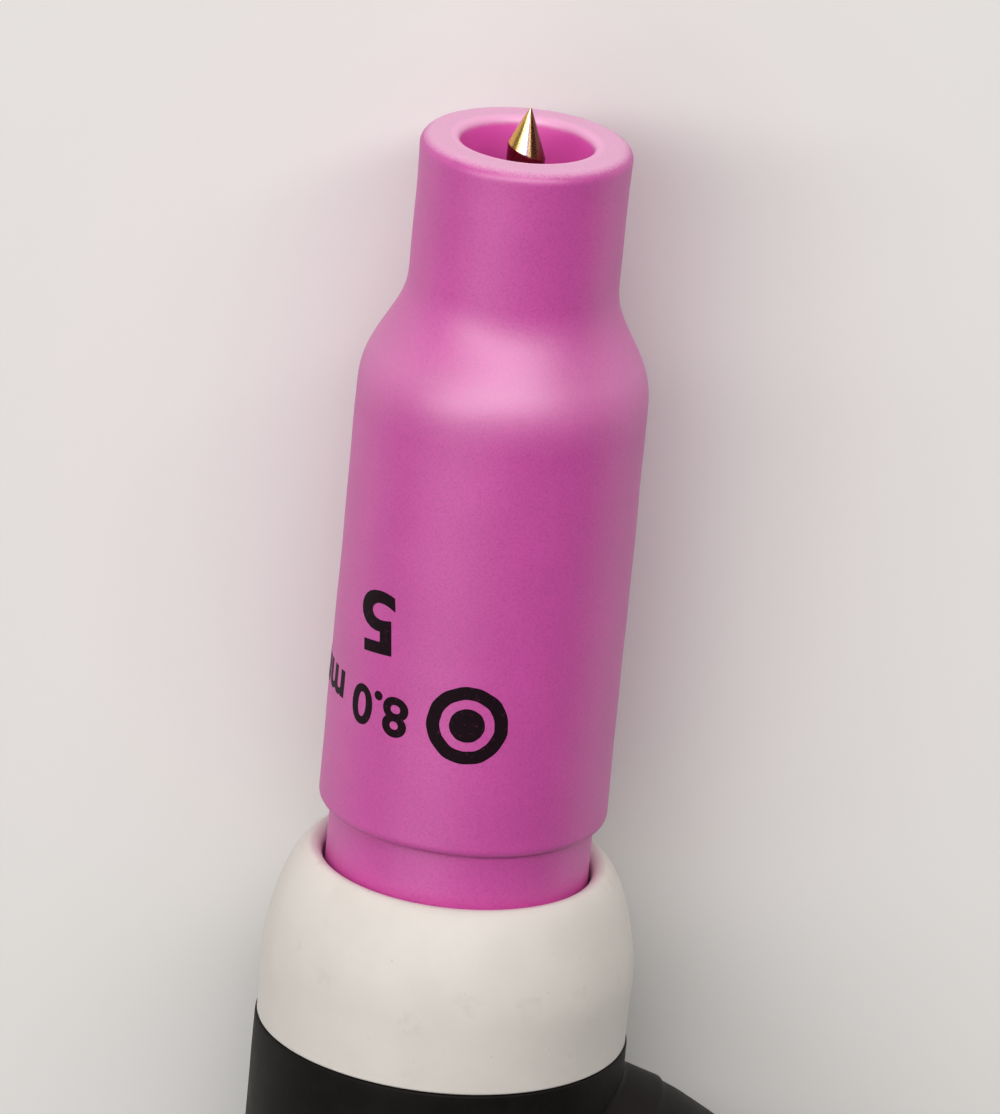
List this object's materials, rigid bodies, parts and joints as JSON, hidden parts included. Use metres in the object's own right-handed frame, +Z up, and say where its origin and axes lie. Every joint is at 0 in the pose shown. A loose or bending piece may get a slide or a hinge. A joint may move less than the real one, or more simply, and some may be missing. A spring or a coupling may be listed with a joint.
{
  "type": "tig torch",
  "caption": "Hand-held TIG welding torch on its side: pink ceramic nozzle on a white gasket, rubber head and neck, ribbed handle, long back cap, no cable.",
  "frame": {"origin": "middle of the bounding box's underside, at the surface that the torch lies on", "axes": "+Z up from that surface; the handle runs along -X from the head, and the nozzle points 60 degrees from +X towards -Y, in the horizontal plane of both axes"},
  "size_m": [0.21, 0.1602, 0.0222],
  "materials": {
    "pink_alumina": "matte",
    "white_ptfe": "matte",
    "ground_tungsten": "satin",
    "bright_copper": "satin",
    "turned_copper": "satin",
    "machined_brass": "satin",
    "plated_brass": "satin",
    "insert_brass": "polished",
    "drawn_copper": "satin",
    "black_silicone": "matte",
    "oring_rubber": "matte",
    "black_nylon": "matte",
    "ribbed_handle_black": "matte",
    "black_phenolic": "satin"
  },
  "bodies": {
    "torch_body": {"head_core": "machined_brass", "head_cover": "black_silicone", "neck_tube": "drawn_copper", "handle_thread_bush": "black_nylon", "cable_adaptor": "plated_brass", "handle": "ribbed_handle_black", "cup_gasket": "white_ptfe"},
    "collet_holder": {"collet_body": "turned_copper"},
    "nozzle": {"alumina_nozzle": "pink_alumina"},
    "cap_seal": {"back_cap_oring": "oring_rubber"},
    "cap": {"back_cap": "black_phenolic", "back_cap_insert": "insert_brass"},
    "collet": {"collet": "bright_copper"},
    "electrode": {"tungsten_electrode": "ground_tungsten"}
  },
  "joints": [
    {"name": "collet_body_off", "type": "slide", "parent": "torch_body", "child": "collet_holder", "axis": [0.5, -0.866, 0], "range_m": [0, 0.068]},
    {"name": "nozzle_off", "type": "slide", "parent": "collet_holder", "child": "nozzle", "axis": [0.5, -0.866, 0], "range_m": [0, 0.052]},
    {"name": "cap_travel", "type": "slide", "parent": "torch_body", "child": "cap_seal", "axis": [-0.5, 0.866, 0], "range_m": [0, 0.00875]},
    {"name": "cap_turn", "type": "hinge", "parent": "cap_seal", "child": "cap", "pos_m": [0.07206, -0.02902, 0.0111], "axis": [-0.5, 0.866, 0], "range_deg": [0, 2520]},
    {"name": "collet_travel", "type": "slide", "parent": "torch_body", "child": "collet", "axis": [-0.5, 0.866, 0], "range_m": [0, 0.00875]},
    {"name": "electrode_feed", "type": "slide", "parent": "collet", "child": "electrode", "axis": [0.5, -0.866, 0], "range_m": [-0.001, 0.12]}
  ],
  "couplings": [
    {"joint": "cap_travel", "follows": "cap_turn", "m_per_rad": 0.00019894},
    {"joint": "collet_travel", "follows": "cap_turn", "m_per_rad": 0.00019894}
  ]
}
